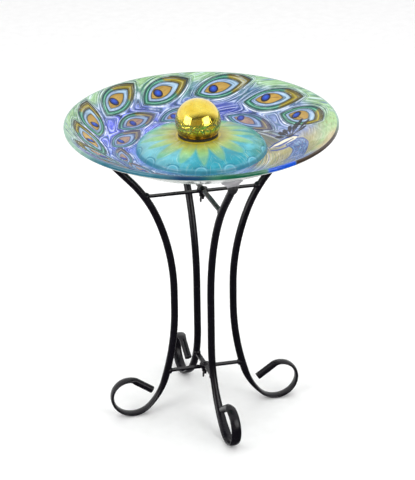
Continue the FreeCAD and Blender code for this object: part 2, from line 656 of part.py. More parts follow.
# ---------------------------------------------------------------- pivots
def pivot(level):
    """A domed bolt down through both bars, a washer and a wing nut with drooping wings."""
    name = level + "_pivot"
    low = "Derived.outer_%s_z" % level
    top = low + " + 2 * Sizes.bar_thick + 2 * Sizes.bar_gap"
    washer_z = low + " - Sizes.washer_thick"
    nut_z = washer_z + " - Sizes.nut_gap - Sizes.nut_height"
    shank = disc(name + "_shank", "Sizes.bolt_radius",
                 "2 * Sizes.bar_thick + 2 * Sizes.bar_gap + Sizes.bolt_tail",
                 low + " - Sizes.bolt_tail")
    head = solid("Sphere", name + "_head", Radius="(Sizes.bolt_head_radius ^ 2"
                 " + Sizes.bolt_head_height ^ 2) / (2 * Sizes.bolt_head_height)",
                 Placement__Base__z=top + " + Sizes.bolt_head_height - (Sizes.bolt_head_radius ^ 2"
                 " + Sizes.bolt_head_height ^ 2) / (2 * Sizes.bolt_head_height)")
    under = disc(name + "_under", "3 * Sizes.bolt_head_radius", "4 * Sizes.bolt_head_radius",
                 top + " - 4 * Sizes.bolt_head_radius")
    node(fuse(name + "_bolt", shank, cut(name + "_dome", head, under)), level + "_pivot_bolt")

    plate = disc(name + "_plate", "Sizes.washer_radius", "Sizes.washer_thick", washer_z)
    hole = disc(name + "_plate_hole", "Sizes.bolt_radius", "Sizes.washer_thick", washer_z)
    node(cut(name + "_ring", plate, hole), level + "_washer")

    hub = disc(name + "_hub", "Sizes.nut_radius", "Sizes.nut_height", nut_z)
    wing_z = nut_z + " - Sizes.wing_drop"
    wings = block(name + "_wings", "2 * Sizes.wing_span", "Sizes.wing_thick",
                  "Sizes.wing_drop + Sizes.nut_height * 0.7", "0", "0", wing_z)
    gap = block(name + "_wing_gap", "2 * Sizes.bolt_radius + 9", "2 * Sizes.wing_thick",
                "Sizes.wing_drop", "0", "0", wing_z)
    tip = solid("Cylinder", name + "_tips", Radius="Sizes.wing_span", Height="2 * Sizes.wing_thick",
                Placement__Base__y="Sizes.wing_thick",
                Placement__Base__z=nut_z + " + Sizes.nut_height * 0.7 - Sizes.wing_span * 0.55")
    tip.Placement = Placement(tip.Placement.Base, Rotation(Vector(1, 0, 0), 90))
    rounded = doc.addObject("Part::Common", name + "_rounded")
    rounded.Base = wings
    rounded.Tool = tip
    thread = disc(name + "_thread", "Sizes.bolt_radius + Sizes.bolt_clearance",
                  "Sizes.nut_height + Sizes.wing_drop", wing_z)
    shape = fuse(name + "_nut_solid", hub, cut(name + "_ears", rounded, gap))
    nut = cut(name + "_nut", shape, thread)
    bind(nut, Placement__Rotation__Angle="Sizes.nut_turn")
    node(nut, level + "_wing_nut")


# ---------------------------------------------------------------- solar light
def light():
    """Housing clamped under the mound by a lock ring, with its cell, lamp, battery and switch."""
    shelf = "Derived.roof_height - Sizes.gasket_thick"
    base = shelf + " - Sizes.housing_height"
    inside = "Sizes.housing_radius - Sizes.housing_wall"
    neck_top = "Derived.seat_height + Sizes.neck_rise"

    pad = disc("gasket_disc", "Sizes.gasket_outer_radius", "Sizes.gasket_thick", shelf)
    pad_hole = disc("gasket_hole", "Sizes.gasket_inner_radius", "Sizes.gasket_thick", shelf)
    node(cut("gasket_ring", pad, pad_hole), "light_gasket")

    screws = []
    holes = []
    bosses = []
    for i, angle in enumerate((30, 150, 270)):
        x = "Sizes.boss_circle_radius * cos(%d)" % angle
        y = "Sizes.boss_circle_radius * sin(%d)" % angle
        bosses.append(disc("boss_%d" % i, "Sizes.boss_radius",
                           "Sizes.housing_height - Sizes.door_thick - Sizes.housing_roof",
                           base + " + Sizes.door_thick", x, y))
        screw = disc("screw_%d" % i, "Sizes.screw_radius", "Sizes.screw_length", base, x, y)
        head = disc("screw_head_%d" % i, "Sizes.screw_head_radius", "Sizes.screw_head_height",
                    base + " - Sizes.screw_head_height", x, y)
        screws.append(fuse("door_screw_%d" % i, screw, head))
        holes.append(disc("screw_hole_%d" % i, "Sizes.screw_radius", "Sizes.screw_length", base,
                          x, y))
    node(fuse("door_screw_set", *screws), "door_screws")

    drum = disc("drum", "Sizes.housing_radius", "Sizes.housing_height", base)
    room = disc("drum_room", inside, "Sizes.housing_height - Sizes.housing_roof", base)
    neck_height = "Sizes.housing_roof + Sizes.gasket_thick + Sizes.bottom_glass + Sizes.neck_rise"
    neck_base = shelf + " - Sizes.housing_roof"
    neck = disc("neck", "Sizes.neck_radius", neck_height, neck_base)
    throat = disc("neck_throat", "Sizes.neck_radius - Sizes.neck_wall", neck_height, neck_base)
    shell = cut("drum_shell", drum, room)
    body = fuse("housing_solid", shell, neck, *bosses)
    node(cut("housing_shape", body, throat, *holes), "light_housing")

    ring = disc("lock_disc", "Sizes.lock_radius", "Sizes.lock_height", "Derived.seat_height")
    ring_hole = disc("lock_hole", "Sizes.neck_radius", "Sizes.lock_height", "Derived.seat_height")
    notches = []
    for i in range(6):
        notches.append(disc("lock_notch_%d" % i, "2", "Sizes.lock_height", "Derived.seat_height",
                            "(Sizes.lock_radius + 0.6) * cos(%d)" % (60 * i),
                            "(Sizes.lock_radius + 0.6) * sin(%d)" % (60 * i)))
    node(cut("lock_shape", ring, ring_hole, *notches), "lock_ring")

    cell_z = neck_top + " - Sizes.cell_thick"
    cell_radius = "Sizes.neck_radius - Sizes.neck_wall - Sizes.cell_gap"
    cell = disc("cell_disc", cell_radius, "Sizes.cell_thick", cell_z)
    cell_hole = disc("cell_hole", "Sizes.lamp_radius + Sizes.lamp_clearance", "Sizes.cell_thick",
                     cell_z)
    node(cut("cell_shape", cell, cell_hole), "solar_cell")

    carrier_z = neck_top + " - Sizes.carrier_drop"
    node(disc("carrier_disc", cell_radius, "Sizes.carrier_thick", carrier_z), "lamp_carrier")
    stalk = disc("lamp_stalk", "Sizes.lamp_radius",
                 "Sizes.carrier_drop - Sizes.carrier_thick + 1.5",
                 carrier_z + " + Sizes.carrier_thick")
    dome = solid("Sphere", "lamp_dome", Radius="Sizes.lamp_radius",
                 Placement__Base__z=neck_top + " + 1.5")
    node(fuse("lamp_shape", stalk, dome), "led_lamp")

    battery_z = base + " + Sizes.door_thick + 1 + Sizes.battery_radius"
    battery = solid("Cylinder", "battery_can", Radius="Sizes.battery_radius",
                    Height="Sizes.battery_length")
    battery.Placement = Placement(Vector(), Rotation(Vector(0, 1, 0), 90))
    bind(battery, Placement__Base__x="0 - Sizes.battery_length / 2",
         Placement__Base__y="0 - Sizes.battery_offset", Placement__Base__z=battery_z)
    node(battery, "battery_cell")
    plates = []
    for i, sign in enumerate((-1, 1)):
        plates.append(block("contact_%d" % i, "Sizes.contact_thick", "Sizes.contact_width",
                            "Sizes.contact_width",
                            "%d * (Sizes.battery_length + Sizes.contact_thick) / 2" % sign,
                            "0 - Sizes.battery_offset",
                            battery_z + " - Sizes.contact_width / 2"))
    node(fuse("contact_pair", *plates), "battery_contacts")

    hatch = disc("door_disc", inside + " - Sizes.door_gap", "Sizes.door_thick", base)
    button_hole = disc("door_button_hole", "Sizes.button_radius + Sizes.button_gap",
                       "Sizes.door_thick", base, "0", "Sizes.button_offset")
    node(cut("door_shape", hatch, button_hole, *holes), "battery_door")

    flange_z = base + " + Sizes.door_thick + Sizes.button_gap"
    stem = disc("button_stem", "Sizes.button_radius",
                "Sizes.button_proud + Sizes.door_thick + Sizes.button_gap"
                " + Sizes.button_flange_thick", base + " - Sizes.button_proud",
                "0", "Sizes.button_offset")
    flange = disc("button_flange", "Sizes.button_radius + Sizes.button_flange",
                  "Sizes.button_flange_thick", flange_z, "0", "Sizes.button_offset")
    node(fuse("button_shape", stem, flange), "power_button")

    switch_z = flange_z + " + Sizes.button_flange_thick + Sizes.button_travel + Sizes.button_gap"
    node(block("switch_block", "Sizes.switch_size", "Sizes.switch_size", "Sizes.switch_height",
               "0", "Sizes.button_offset", switch_z), "push_switch")
    node(block("board_block", "Sizes.board_length", "Sizes.board_width", "Sizes.board_thick",
               "0", "Sizes.button_offset", switch_z + " + Sizes.switch_height"), "circuit_board")


bowl()
globe()
stand_frame("outer", (("right", 0), ("left", 180)))
stand_frame("inner", (("back", 0), ("front", 180)))
pivot("upper")
pivot("lower")
light()
doc.recompute()

faults = []
for obj in doc.Objects:
    if "Invalid" in obj.State or "Error" in obj.State:
        faults.append("%s %s" % (obj.Name, obj.State))
for obj in nodes:
    if obj.Shape.isNull() or not obj.Shape.isValid():
        faults.append("%s has no valid shape" % obj.Label)
if faults:
    raise RuntimeError("; ".join(faults))

os.makedirs("parts", exist_ok=True)
for obj in nodes:
    obj.Shape.exportStep("parts/%s.step" % obj.Label)
    print("%-22s solids %d volume %.0f" % (obj.Label, len(obj.Shape.Solids), obj.Shape.Volume))
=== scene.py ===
import math

import bpy
import numpy as np
from mathutils import Matrix, Vector


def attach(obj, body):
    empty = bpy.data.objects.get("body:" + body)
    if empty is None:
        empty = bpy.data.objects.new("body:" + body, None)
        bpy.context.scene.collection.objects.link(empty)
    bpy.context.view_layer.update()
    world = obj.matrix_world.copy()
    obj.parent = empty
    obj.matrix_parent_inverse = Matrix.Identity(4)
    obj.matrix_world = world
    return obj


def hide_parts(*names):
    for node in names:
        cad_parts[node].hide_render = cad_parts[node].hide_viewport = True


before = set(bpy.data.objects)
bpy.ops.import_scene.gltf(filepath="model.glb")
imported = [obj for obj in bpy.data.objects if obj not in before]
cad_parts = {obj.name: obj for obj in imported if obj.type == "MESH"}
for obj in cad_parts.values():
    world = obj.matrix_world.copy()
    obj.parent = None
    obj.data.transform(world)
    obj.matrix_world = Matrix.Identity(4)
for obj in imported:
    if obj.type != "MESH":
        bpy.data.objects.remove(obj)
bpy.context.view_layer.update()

# ---------------------------------------------------------------- room and viewpoint
# A white paper sweep under soft light from overhead and both sides, seen from a little above the
# rim by a long lens, so the bowl's ellipse stays almost free of perspective.


def linear(code):
    """sRGB hex text to the linear colour a shader works in."""
    parts = [int(code[i:i + 2], 16) / 255 for i in (0, 2, 4)]
    return tuple(p / 12.92 if p <= 0.04045 else ((p + 0.055) / 1.055) ** 2.4
                 for p in parts) + (1.0,)


def wire(node, settings=None, **links):
    """Set a node up: settings by input or property, links by input (A_B is "A B", _2 the third)."""
    for key, value in (settings or {}).items():
        if isinstance(key, int) or key in node.inputs:
            node.inputs[key].default_value = value
        else:
            setattr(node, key, value)
    for key, source in links.items():
        place = int(key[1:]) if key[1:].isdigit() else key.replace("_", " ")
        node.id_data.links.new(source, node.inputs[place])
    return node


def add(tree, kind, settings=None, **links):
    """A new shader node, set up."""
    return wire(tree.nodes.new("ShaderNode" + kind), settings, **links)


def ramp(tree, factor, stops):
    """A colour ramp from (position, hex) stops."""
    made = add(tree, "ValToRGB", Fac=factor)
    band = made.color_ramp.elements
    while len(band) < len(stops):
        band.new(1.0)
    for element, (place, code) in zip(band, stops):
        element.position = place
        element.color = linear(code)
    return made.outputs["Color"]


def material(name):
    """An empty node material and its Principled shader."""
    made = bpy.data.materials.new(name)
    made.use_nodes = True
    tree = made.node_tree
    return made, tree, tree.nodes["Principled BSDF"]


def dress(finish, *endings):
    """Give a finish to the CAD nodes whose names end so."""
    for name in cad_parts:
        if name.endswith(endings):
            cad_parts[name].data.materials.clear()
            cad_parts[name].data.materials.append(finish)


paper, tree, shader = material("white_paper_sweep")
grain = add(tree, "TexNoise", {"Scale": 40.0, "Detail": 3.0},
            Vector=add(tree, "TexCoord").outputs["Object"])
wire(shader, Base_Color=ramp(tree, grain.outputs["Fac"], [(0.3, "FAFAFA"), (0.7, "FFFFFF")]))
wire(shader, {"Roughness": 0.9})
floor_mesh = bpy.data.meshes.new("floor")
floor_mesh.from_pydata([(-6, -6, 0), (6, -6, 0), (6, 6, 0), (-6, 6, 0)], [], [(0, 1, 2, 3)])
floor = bpy.data.objects.new("floor", floor_mesh)
bpy.context.collection.objects.link(floor)
floor.data.materials.append(paper)
floor.visible_glossy = False

world = bpy.data.worlds.new("studio")
bpy.context.scene.world = world
world.use_nodes = True
tree = world.node_tree
heading = add(tree, "SeparateXYZ", Vector=add(tree, "TexCoord").outputs["Generated"])
behind = add(tree, "Math", {"operation": "MULTIPLY", 1: 0.75}, _0=heading.outputs["Y"])
above = add(tree, "Math", {"operation": "MULTIPLY_ADD", 1: 0.7}, _0=heading.outputs["Z"],
            _2=behind.outputs[0])
lightness = add(tree, "MapRange", {"From Min": -0.5, "From Max": 0.6}, Value=above.outputs[0])
wire(tree.nodes["Background"], {"Strength": 1.0}, Color=ramp(
    tree, lightness.outputs["Result"], [(0.0, "505052"), (0.35, "606062"), (0.75, "FFFFFF")]))

SOFTBOXES = [("left_softbox", (-1.81, -0.72, 0.95), 1.3, 1.5, 22),
             ("right_softbox", (1.08, -1.6, 1.05), 1.2, 1.4, 18),
             ("overhead_softbox", (0.1, 0.1, 2.7), 1.8, 1.4, 24)]
for name, place, width, height, watts in SOFTBOXES:
    lamp = bpy.data.lights.new(name, "AREA")
    lamp.shape = "RECTANGLE"
    lamp.size, lamp.size_y, lamp.energy = width, height, watts
    lamp_object = bpy.data.objects.new(name, lamp)
    lamp_object.location = place
    lamp_object.rotation_euler = (Vector((0, 0, 0.4)) - Vector(place)).to_track_quat(
        "-Z", "Y").to_euler()
    bpy.context.collection.objects.link(lamp_object)
    lamp_object.visible_glossy = name != "overhead_softbox"

# a dim card behind the viewpoint, seen only in polished surfaces, keeps the gilt globe bright
card_paint, tree, shader = material("grey_reflector_card")
weave = add(tree, "TexNoise", {"Scale": 3.0}, Vector=add(tree, "TexCoord").outputs["Object"])
wire(shader, Emission_Color=ramp(tree, weave.outputs["Fac"], [(0.3, "8E8A80"), (0.7, "A6A298")]))
wire(shader, {"Emission Strength": 1.0, "Base Color": linear("101010")})
card_mesh = bpy.data.meshes.new("reflector_card")
card_mesh.from_pydata([(-6, -4, 0), (5, -4, 0), (5, -4, 3), (-6, -4, 3)], [], [(3, 2, 1, 0)])
card = bpy.data.objects.new("reflector_card", card_mesh)
bpy.context.collection.objects.link(card)
card.data.materials.append(card_paint)
card.visible_diffuse = False
card.visible_camera = False
card.visible_shadow = False

VIEW_PLACE = (-0.59255, -2.75187, 1.71591)
VIEW_AZIMUTH, VIEW_TILT, VIEW_ROLL = (math.radians(turn) for turn in (-12.292, 26.196, -0.794))
ahead = Vector((-math.sin(VIEW_AZIMUTH) * math.cos(VIEW_TILT),
                math.cos(VIEW_AZIMUTH) * math.cos(VIEW_TILT), -math.sin(VIEW_TILT)))
level = Vector((math.cos(VIEW_AZIMUTH), math.sin(VIEW_AZIMUTH), 0))
upward = level.cross(ahead)
across = level * math.cos(VIEW_ROLL) + upward * math.sin(VIEW_ROLL)
upright = -level * math.sin(VIEW_ROLL) + upward * math.cos(VIEW_ROLL)
lens = bpy.data.cameras.new("view")
lens.sensor_width = 36
lens.lens = 137.3205
lens.shift_x, lens.shift_y = 0.0010417, -0.0010417
camera = bpy.data.objects.new("view", lens)
camera.matrix_world = Matrix.Translation(VIEW_PLACE) @ Matrix(
    (across, upright, -ahead)).transposed().to_4x4()
bpy.context.collection.objects.link(camera)
bpy.context.scene.camera = camera
bpy.context.scene.view_settings.view_transform = "Standard"

# ---------------------------------------------------------------- stand: legs and crossbars
# Round mild-steel tube, bent cold and flattened round the scrolls, with flat bars welded across.
# The frames are powder coated black: a satin skin with fine orange peel that softens each edge.
coat, tree, shader = material("black_powder_coat")
place = add(tree, "TexCoord").outputs["Object"]
peel = add(tree, "TexNoise", {"Scale": 900.0, "Detail": 2.0, "Roughness": 0.6}, Vector=place)
dust = add(tree, "TexNoise", {"Scale": 35.0, "Detail": 6.0, "Roughness": 0.65}, Vector=place)
wire(shader, Base_Color=ramp(tree, dust.outputs["Fac"], [(0.35, "08060C"), (0.65, "0E0B14")]))
satin = add(tree, "MapRange", {"From Min": 0.3, "From Max": 0.7, "To Min": 0.2, "To Max": 0.3},
            Value=dust.outputs["Fac"])
skin = add(tree, "Bump", {"Strength": 0.25, "Distance": 0.0002}, Height=peel.outputs["Fac"])
wire(shader, {"Specular IOR Level": 0.3}, Roughness=satin.outputs["Result"],
     Normal=skin.outputs["Normal"])
dress(coat, "_leg", "_crossbar")

# ---------------------------------------------------------------- bolts, washers, wing nuts
# Plated steel fasteners dipped black with the stand; the plating shows through a thin, worn coat.
blacked, tree, shader = material("blacked_steel_fastener")
wear = add(tree, "TexNoise", {"Scale": 260.0, "Detail": 5.0},
           Vector=add(tree, "TexCoord").outputs["Object"])
wire(shader, Base_Color=ramp(tree, wear.outputs["Fac"], [(0.45, "111014"), (0.72, "2C2B30")]))
wire(shader, {"Metallic": 0.6, "Roughness": 0.38})
rough = add(tree, "Bump", {"Strength": 0.3, "Distance": 0.0002}, Height=wear.outputs["Fac"])
wire(shader, Normal=rough.outputs["Normal"])
dress(blacked, "_bolt", "_washer", "_wing_nut")

# ---------------------------------------------------------------- leg caps and foot plugs
# Soft black PVC pushed over and into the tube ends; dull, with a faint moulded mottle.
pvc, tree, shader = material("black_soft_pvc")
mottle = add(tree, "TexNoise", {"Scale": 180.0, "Detail": 4.0},
             Vector=add(tree, "TexCoord").outputs["Object"])
wire(shader, Base_Color=ramp(tree, mottle.outputs["Fac"], [(0.4, "141317"), (0.65, "201F24")]))
wire(shader, {"Roughness": 0.55})
pores = add(tree, "Bump", {"Strength": 0.2, "Distance": 0.0003}, Height=mottle.outputs["Fac"])
wire(shader, Normal=pores.outputs["Normal"])
dress(pvc, "_leg_cap", "_foot_plug")

# ---------------------------------------------------------------- suction cups
# Clear PVC cups gone grey with handling; light passes through the thin lip.
cup_pvc, tree, shader = material("clear_grey_pvc")
haze = add(tree, "TexNoise", {"Scale": 120.0, "Detail": 3.0},
           Vector=add(tree, "TexCoord").outputs["Object"])
wire(shader, Base_Color=ramp(tree, haze.outputs["Fac"], [(0.35, "A6A4A9"), (0.7, "C4C2C6")]))
wire(shader, {"Roughness": 0.28, "IOR": 1.53, "Transmission Weight": 0.35, "Subsurface Weight": 0.2,
              "Subsurface Radius": (0.004, 0.004, 0.004)})
dress(cup_pvc, "_suction_cup")

# ---------------------------------------------------------------- glass bowl
# An 18 inch sheet of glass slumped over a relief mould, so lines and feather eyes stand up on it.
# Enamel is painted on its back and fired; the clear front gives every colour a wet gloss.
FLOOR, TROUGH = 493.0, 500.0        # underside and top of the trough's glass
WALL_FOOT, WALL_END, WALL_TOP = 130.7, (226.2, 543.8), 549.9
BAND = 131.0                        # foot ring pressed into the underside
WALL_TURNS = 840                    # points round the bowl


def lathe(name, profile, turns, lift):
    """A closed ring: point (a, i) is profile point i swung through angle a about +Z.

    profile is an (n, 2) array of radius and height in millimetres; lift(x, y) raises points.
    """
    angle = np.linspace(0, 2 * np.pi, turns, endpoint=False)[:, None]
    x = np.cos(angle) * profile[:, 0]
    y = np.sin(angle) * profile[:, 0]
    z = profile[:, 1] + lift(x, y)
    count = len(profile)
    point = np.arange(turns * count).reshape(turns, count)
    after = np.roll(point, -1, 0)
    along = np.roll(point, -1, 1)
    corner = np.roll(after, -1, 1)
    faces = np.stack([point, after, corner, along], -1).reshape(-1, 4)
    mesh = bpy.data.meshes.new(name)
    spots = np.stack([x, y, z], -1).reshape(-1, 3) / 1000
    mesh.vertices.add(len(spots))
    mesh.vertices.foreach_set("co", spots.ravel())
    mesh.loops.add(faces.size)
    mesh.loops.foreach_set("vertex_index", faces.ravel())
    mesh.polygons.add(len(faces))
    mesh.polygons.foreach_set("loop_start", np.arange(0, faces.size, 4))
    mesh.polygons.foreach_set("use_smooth", np.ones(len(faces), bool))
    mesh.update()
    mesh.validate()
    obj = bpy.data.objects.new(name, mesh)
    bpy.context.collection.objects.link(obj)
    return obj, x.ravel(), y.ravel(), z.ravel()


def paint(obj, name, values):
    """Store one number, or one colour, for each point of a mesh."""
    values = np.asarray(values, float)
    if values.ndim == 1:
        obj.data.attributes.new(name, "FLOAT", "POINT").data.foreach_set("value", values)
    else:
        stored = obj.data.attributes.new(name, "FLOAT_COLOR", "POINT").data
        stored.foreach_set("color", np.insert(values, 3, 1.0, axis=1).ravel())


def smooth(low, high, value):
    """0 below low, 1 above high, with an S curve between."""
    t = np.clip((value - low) / (high - low), 0, 1)
    return t * t * (3 - 2 * t)


# Each feather eye: tail, tip and pupil (mm from the middle of the bowl), how far its outer and
# inner edges bow from the line tail to tip, and the pupil's radius.
EYES = [
    ((-139.8, 114.7), (-75.3, 205.0), (-119.7, 156.2), 29, 16, 7.8),
    ((-66.7, 159.8), (24.4, 210.7), (-36.6, 185.6), 31, 17, 7.8),
    ((25.8, 176.3), (129.9, 172.9), (61.4, 180.1), 30, 17, 7.8),
    ((104.1, 133.3), (197.8, 76.5), (141.6, 122.1), 28, 20, 7.8),
    ((153.1, 67.9), (202.1, -24.9), (174.6, 41.3), 31, 14, 7.4),
    ((-166.3, 40.1), (-169.1, 141.9), (-166.5, 78.8), 24, 18, 6.6),
    ((-167.7, -38.7), (-202.1, 71.0), (-184.9, 11.6), 20, 18, 6.2),
    ((-124.7, 88.2), (-49.5, 141.9), (-95.3, 113.2), 21, 12, 5.7),
    ((-147.6, 20.1), (-84.6, 98.9), (-127.6, 51.6), 18, 15, 5.7),
    ((69.7, 117.8), (132.4, 37.0), (91.7, 101.5), 22, 12, 6.2),
    ((-47.3, 123.8), (17.2, 150.5), (-19.4, 136.7), 15, 10, 5.4),
]


def swung(radius, degrees):
    """A point at this radius and angle round the bowl."""
    return (radius * math.cos(math.radians(degrees)), radius * math.sin(math.radians(degrees)))


for middle in (199, 221, 243):
    EYES.append((swung(171, middle + 12), swung(216, middle - 15), swung(186, middle), 23, 17, 6.8))
for middle in (189, 214, 238):
    EYES.append((swung(141, middle + 13), swung(136, middle - 22), swung(138, middle), 15, 11, 5.4))


def eye_fields(x, y):
    """Gauge, place along, pupil distance, gap in mm and softened gap, from the nearest eye.

    An eye is the part shared by two discs whose edges pass through its tail and tip.  The gauge is
    how much that shape must grow about the pupil to reach the point: 0 at the pupil, 1 on the edge.
    The softened gap is -SOFT ln(sum of exp(-gap / SOFT)) over all eyes, so its contours flow
    between neighbours without a crease.
    """
    soft = 6.0
    best = np.full(x.shape, 1e9)
    crowd = np.zeros(x.shape)
    gauge, along, pupil, side = (np.full(x.shape, 9.0) for _ in range(4))
    for tail, tip, middle, outer, inner, size in EYES:
        tail, tip, middle = (np.array(p, float) for p in (tail, tip, middle))
        chord = tip - tail
        length = np.hypot(*chord)
        axis = chord / length
        left = np.array([-axis[1], axis[0]])
        ux, uy = x - middle[0], y - middle[1]
        square = np.maximum(ux * ux + uy * uy, 1e-6)
        grow = np.zeros(x.shape)
        for bow, sign in ((outer, -1), (inner, 1)):
            radius = (length * length / 4 + bow * bow) / (2 * bow)
            centre = (tail + tip) / 2 + left * sign * (radius - bow)
            away = middle - centre
            b = ux * away[0] + uy * away[1]
            root = np.sqrt(b * b + square * (radius * radius - away @ away))
            grow = np.maximum(grow, square / (root - b))
        gap = np.sqrt(square) * (1 - 1 / grow)
        crowd += np.exp(-np.clip(gap, -20, 200) / soft)
        nearer = gap < best
        best = np.where(nearer, gap, best)
        gauge = np.where(nearer, grow, gauge)
        ahead = ((x - tail[0]) * axis[0] + (y - tail[1]) * axis[1]) / length
        along = np.where(nearer, ahead, along)
        pupil = np.where(nearer, np.sqrt(square) / size, pupil)
        side = np.where(nearer, (ux * left[0] + uy * left[1]) / (outer + inner), side)
    return gauge, along, pupil, best, side, -soft * np.log(crowd)


# Bird: neck and body as a chain of discs (x, y, radius), the head's patches, and the crest.
NECK = [(147, -37, 11), (151, -46, 13), (152, -61, 13), (151, -74, 13), (146, -90, 13.5),
        (138, -108, 14.5), (128, -127, 17), (116, -146, 20), (101, -160, 23), (80, -168, 26),
        (54, -171, 28), (28, -172, 27), (4, -172, 22), (-18, -172, 15)]
CREST_FOOT = (150, -14)
CREST_TIPS = [(132, 9), (139, 18), (147, 18), (157, 19), (167, 17), (178, 20), (186, 6), (176, -8)]
FACE = [(113, -28, 1.5), (124, -24, 7), (138, -22, 10), (149, -25, 9)]
INK = [[(111, -26, 1.6), (125, -12, 2.2), (142, -9, 2.2), (155, -16, 2.2), (160, -26, 1.8)],
       [(116, -27, 1.2), (127, -28, 3.4), (140, -27, 3.8), (151, -26, 1.6)],
       [(111, -39, 2.6), (120, -42, 3.4), (131, -45, 3.8), (143, -46, 4.0)]]


def chain_gap(x, y, discs):
    """Distance outside a smooth chain of discs: least gap to any cone between neighbours."""
    least = np.full(x.shape, 1e9)
    for (ax, ay, ar), (bx, by, br) in zip(discs, discs[1:]):
        dx, dy = bx - ax, by - ay
        t = np.clip(((x - ax) * dx + (y - ay) * dy) / (dx * dx + dy * dy), 0, 1)
        gap = np.hypot(x - ax - t * dx, y - ay - t * dy) - (ar + t * (br - ar))
        least = np.minimum(least, gap)
    return least


def crest_gap(x, y):
    """Distance outside the crest: thin stalks, each ending in an oval plume."""
    least = np.full(x.shape, 1e9)
    for tip in CREST_TIPS:
        neck = tuple(0.55 * f + 0.45 * t for f, t in zip(CREST_FOOT, tip))
        vane = tuple(0.22 * f + 0.78 * t for f, t in zip(CREST_FOOT, tip))
        least = np.minimum(least, chain_gap(x, y, [(*CREST_FOOT, 0.8), (*neck, 0.8), (*vane, 3.6),
                                                   (*tip, 2.6)]))
    return least


def rgb(code):
    return np.array(linear(code)[:3])


def layered(count, base, *layers):
    """Colours of count points: a base, and over it each (colour, weight from 0 to 1) in turn."""
    laid = np.tile(rgb(base), (count, 1))
    for code, weight in layers:
        laid = laid + (rgb(code) - laid) * np.clip(weight, 0, 1)[:, None]
    return laid


def near_angle(degrees, middle, width):
    """1 at an angle round the bowl, falling smoothly to 0 at width to either side."""
    apart = np.abs((degrees - middle + 180) % 360 - 180)
    return 1 - smooth(0.3 * width, width, apart)


def wash(x, y):
    """The ground colour under the feathers: layers of wash, each by angle and radius."""
    r = np.hypot(x, y)
    turn = np.degrees(np.arctan2(y, x)) % 360
    edge = smooth(196, 214, r) * (1 - near_angle(turn, 255, 90))
    return layered(
        len(x), "7F92C8",
        ("6068F2", near_angle(turn, 152, 60) * (1 - smooth(160, 190, r))),
        ("3340A8", near_angle(turn, 66, 34) * (1 - smooth(150, 176, r))),
        ("6286B0", near_angle(turn, 56, 50) * smooth(160, 186, r)),
        ("74B483", near_angle(turn, 98, 22) * smooth(166, 190, r)),
        ("6E8C9C", near_angle(turn, 158, 24) * smooth(186, 200, r)),
        ("5E9CC8", (1 - smooth(110, 124, r)) * 0.6),
        # near side, where the train gathers towards the body
        ("6486DC", near_angle(turn, 202, 44) * 0.8),
        ("4E7CB4", near_angle(turn, 235, 44)),
        ("3E7C74", near_angle(turn, 262, 36)),
        # cream garden behind the head and neck
        ("A29A66", near_angle(turn, 326, 36)),
        # painted shade: darker olive beside the mound's foot, where the mound shades the garden
        ("6A6A54", near_angle(turn, 8, 34) * (1 - smooth(126, 150, r))),
        ("98AC86", near_angle(turn, 345, 26) * smooth(180, 205, r)),
        # towards the rim
        ("9CC486", edge * 0.9),
        ("A8A28C", near_angle(turn, 186, 18) * smooth(176, 190, r)
         * (1 - smooth(202, 214, r)) * 0.7),
        ("34468E", near_angle(turn, 208, 24) * smooth(190, 210, r)),
        ("2B4E70", near_angle(turn, 250, 30) * smooth(190, 212, r)),
        ("1C6650", near_angle(turn, 278, 30) * smooth(180, 210, r)),
        ("5878B4", near_angle(turn, 300, 18) * smooth(196, 214, r)),
        ("B7A878", near_angle(turn, 326, 18) * smooth(206, 220, r)))


def relief(x, y):
    """Height of the mould's relief in mm: raised outlines, domed pupils and soft flow ridges."""
    r = np.hypot(x, y)
    gauge, along, pupil, gap, side, flow = eye_fields(x, y)
    width = 0.045
    rise = 0.55 * np.exp(-((gauge - 1) / width) ** 2) + 0.4 * np.exp(-((gauge - 0.7) / width) ** 2)
    rise += 0.4 * np.exp(-((gauge - 0.44) / width) ** 2) + 0.9 * (1 - smooth(0.4, 1.1, pupil))
    rise += 0.12 * np.cos(flow * 2 * np.pi / 5.4) * smooth(1, 3, gap) * (1 - smooth(10, 22, flow))
    rise += 0.8 * (1 - smooth(-4, 1, chain_gap(x, y, NECK)))
    rise += 0.7 * (1 - smooth(-0.6, 0.9, crest_gap(x, y)))
    rise += 0.6 * (1 - smooth(-2, 1, chain_gap(x, y, FACE)))
    return rise * smooth(114, 124, r) * (1 - smooth(214, 224, r))


slope = math.atan2(WALL_END[1] - FLOOR, WALL_END[0] - WALL_FOOT)
ring = np.linspace(110.0, 222.5, 80)
inner_line = TROUGH + (ring - 130.0) * math.tan(slope)
top = TROUGH + 4.0 * np.logaddexp(0, (inner_line - TROUGH) / 4.0)
top -= top[-1] - WALL_TOP
top = np.maximum(top, TROUGH)
lip = np.array([(224.2, 550.7), (225.6, 551.0), (227.0, 550.9), (228.1, 550.2), (228.6, 549.0),
                (228.6, 547.4), (228.3, 545.9), (227.5, 544.8), (226.4, 544.0)])
under_ring = np.linspace(224.0, 114.0, 22)
under = FLOOR + 5.0 * np.logaddexp(0, (under_ring - WALL_FOOT) * math.tan(slope) / 5.0)
under -= under[-1] - FLOOR
under = np.maximum(under, FLOOR)
wall_profile = np.concatenate([np.stack([ring, top], 1), lip, np.stack([under_ring, under], 1),
                               np.array([(109.5, FLOOR), (108.5, FLOOR + 3)])])
wall_profile = wall_profile[::-1]


def wall_lift(x, y):
    """The relief, on the wall's upper side only."""
    raised = relief(x.ravel(), y.ravel()).reshape(x.shape)
    keep = np.zeros(len(wall_profile))
    keep[-len(ring):] = 1.0
    return raised * keep


